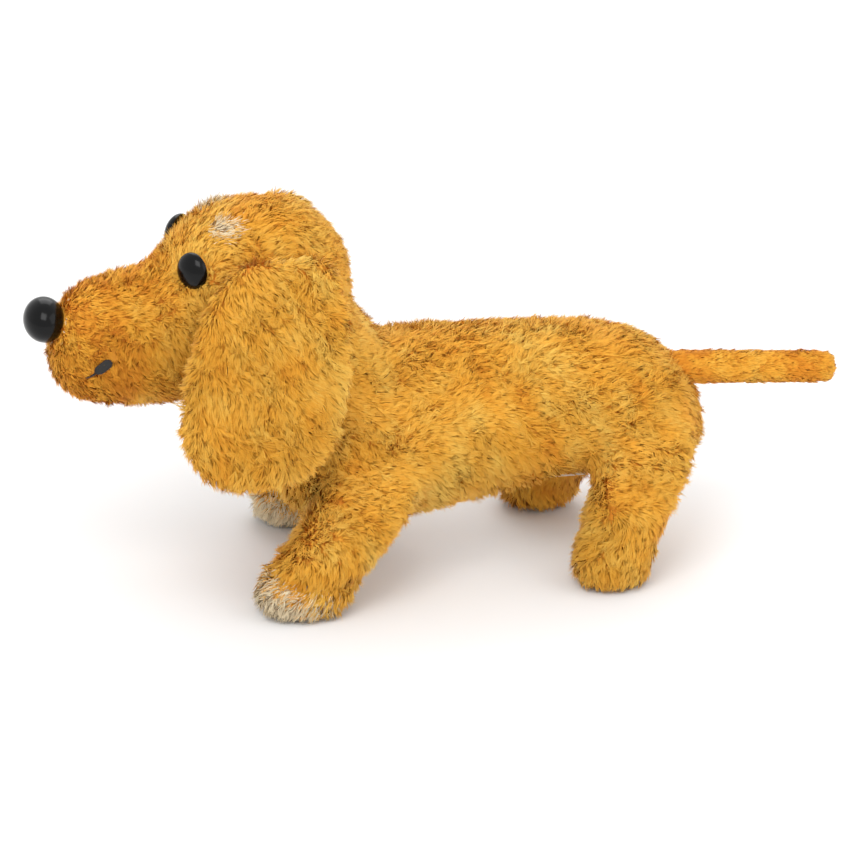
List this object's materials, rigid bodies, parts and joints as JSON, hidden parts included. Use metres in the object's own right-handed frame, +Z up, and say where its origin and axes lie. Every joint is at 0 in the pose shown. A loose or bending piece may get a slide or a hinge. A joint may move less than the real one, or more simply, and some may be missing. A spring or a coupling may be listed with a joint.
{
  "type": "interactive plush pet",
  "caption": "Stuffed plush dachshund that nods its head and wags its tail, with floppy ears, a stroking button in its back and a battery module in its belly.",
  "frame": {"origin": "on the floor, midway between the nose tip and the tail tip and on the middle plane", "axes": "+Z up, +X towards the tail, -X the way the nose points, -Y the dog's left side"},
  "size_m": [0.3283, 0.1222, 0.1635],
  "materials": {
    "plush_tan": "short-pile plush",
    "filling": "polyester fibre",
    "plush_cream": "short-pile plush",
    "black_plastic": "glossy",
    "black_thread": "thread",
    "washer_plastic": "moulded",
    "housing_plastic": "moulded",
    "gear_plastic": "moulded",
    "pinion_brass": "machined",
    "steel": "plated",
    "cell_wrap": "printed sleeve, left plain",
    "switch_plastic": "moulded",
    "board_green": "solder resist",
    "component_black": "moulded",
    "speaker_steel": "pressed",
    "cone_paper": "pulp",
    "lead_red": "insulation"
  },
  "bodies": {
    "torso": {"battery_contacts": "steel", "battery_left": "cell_wrap", "battery_right": "cell_wrap", "board_components": "component_black", "circuit_board": "board_green", "front_leg_left": "plush_tan", "front_leg_right": "plush_tan", "housing_lower": "housing_plastic", "housing_screws": "steel", "housing_upper": "housing_plastic", "leads": "lead_red", "neck_frame_left": "housing_plastic", "neck_frame_right": "housing_plastic", "neck_idler_axle": "steel", "neck_motor": "steel", "neck_pivot_pin": "steel", "neck_plush": "plush_tan", "power_switch_case": "switch_plastic", "rear_leg_left": "plush_tan", "rear_leg_right": "plush_tan", "speaker": "speaker_steel", "speaker_cone": "cone_paper", "speaker_grille": "housing_plastic", "speaker_pod": "housing_plastic", "stroke_button_spring": "steel", "tail_frame_lower": "housing_plastic", "tail_frame_upper": "housing_plastic", "tail_idler_axle": "steel", "tail_motor": "steel", "tail_pivot_pin": "steel", "torso_filling": "filling", "torso_skin_left": "plush_tan", "torso_skin_right": "plush_tan"},
    "head": {"head_skin_left": "plush_tan", "head_skin_right": "plush_tan", "head_filling": "filling", "neck_lever": "gear_plastic", "head_plate": "housing_plastic", "head_plate_screw": "steel", "eye_left": "black_plastic", "eye_right": "black_plastic", "eye_washers": "washer_plastic", "nose": "black_plastic", "nose_washer": "washer_plastic", "mouth_stitches": "black_thread", "brow_patches": "plush_cream"},
    "ear_left": {"ear_left": "plush_tan"},
    "ear_right": {"ear_right": "plush_tan"},
    "tail": {"tail_lever": "gear_plastic", "tail_rod": "steel", "tail_plush": "plush_tan"},
    "neck_idler": {"neck_idler_gear": "gear_plastic"},
    "neck_pinion": {"neck_pinion": "pinion_brass"},
    "tail_idler": {"tail_idler_gear": "gear_plastic"},
    "tail_pinion": {"tail_pinion": "pinion_brass"},
    "power_switch": {"power_switch_knob": "switch_plastic"},
    "button": {"stroke_button": "housing_plastic"},
    "door": {"battery_door": "housing_plastic", "battery_door_screw": "steel"}
  },
  "joints": [
    {"name": "head_nod", "type": "hinge", "parent": "torso", "child": "head", "pos_m": [-0.048, 0, 0.093], "axis": [0, 1, 0], "range_deg": [-8, 8], "deforming": ["neck_plush"]},
    {"name": "ear_lift_left", "type": "hinge", "parent": "head", "child": "ear_left", "pos_m": [-0.063, -0.0315, 0.147], "axis": [-1, 0, 0], "range_deg": [0, 65]},
    {"name": "ear_lift_right", "type": "hinge", "parent": "head", "child": "ear_right", "pos_m": [-0.063, 0.0315, 0.147], "axis": [1, 0, 0], "range_deg": [0, 65]},
    {"name": "tail_wag", "type": "hinge", "parent": "torso", "child": "tail", "pos_m": [0.0875, 0, 0.077], "axis": [0, 0, 1], "range_deg": [-20, 20]},
    {"name": "neck_idler_spin", "type": "hinge", "parent": "torso", "child": "neck_idler", "pos_m": [-0.03643, 0, 0.07921], "axis": [0, 1, 0], "range_deg": [-41, 41]},
    {"name": "neck_pinion_spin", "type": "hinge", "parent": "torso", "child": "neck_pinion", "pos_m": [-0.02703, 0, 0.07579], "axis": [0, 1, 0], "range_deg": [-121, 121]},
    {"name": "tail_idler_spin", "type": "hinge", "parent": "torso", "child": "tail_idler", "pos_m": [0.0695, 0, 0.077], "axis": [0, 0, 1], "range_deg": [-101, 101]},
    {"name": "tail_pinion_spin", "type": "hinge", "parent": "torso", "child": "tail_pinion", "pos_m": [0.0695, 0.01, 0.072], "axis": [0, 0, 1], "range_deg": [-301, 301]},
    {"name": "power_switch_slide", "type": "slide", "parent": "torso", "child": "power_switch", "axis": [0, 1, 0], "range_m": [0, 0.004]},
    {"name": "stroke_button_press", "type": "slide", "parent": "torso", "child": "button", "axis": [0, 0, -1], "range_m": [0, 0.0015], "stiffness_N_per_m": 300, "deforming": ["stroke_button_spring"]},
    {"name": "battery_door_lift", "type": "slide", "parent": "torso", "child": "door", "axis": [0, 0, -1], "range_m": [0, 0.01]}
  ],
  "couplings": [
    {"joint": "neck_idler_spin", "follows": "head_nod", "ratio": -5},
    {"joint": "neck_pinion_spin", "follows": "head_nod", "ratio": 15},
    {"joint": "tail_idler_spin", "follows": "tail_wag", "ratio": -5},
    {"joint": "tail_pinion_spin", "follows": "tail_wag", "ratio": 15}
  ]
}
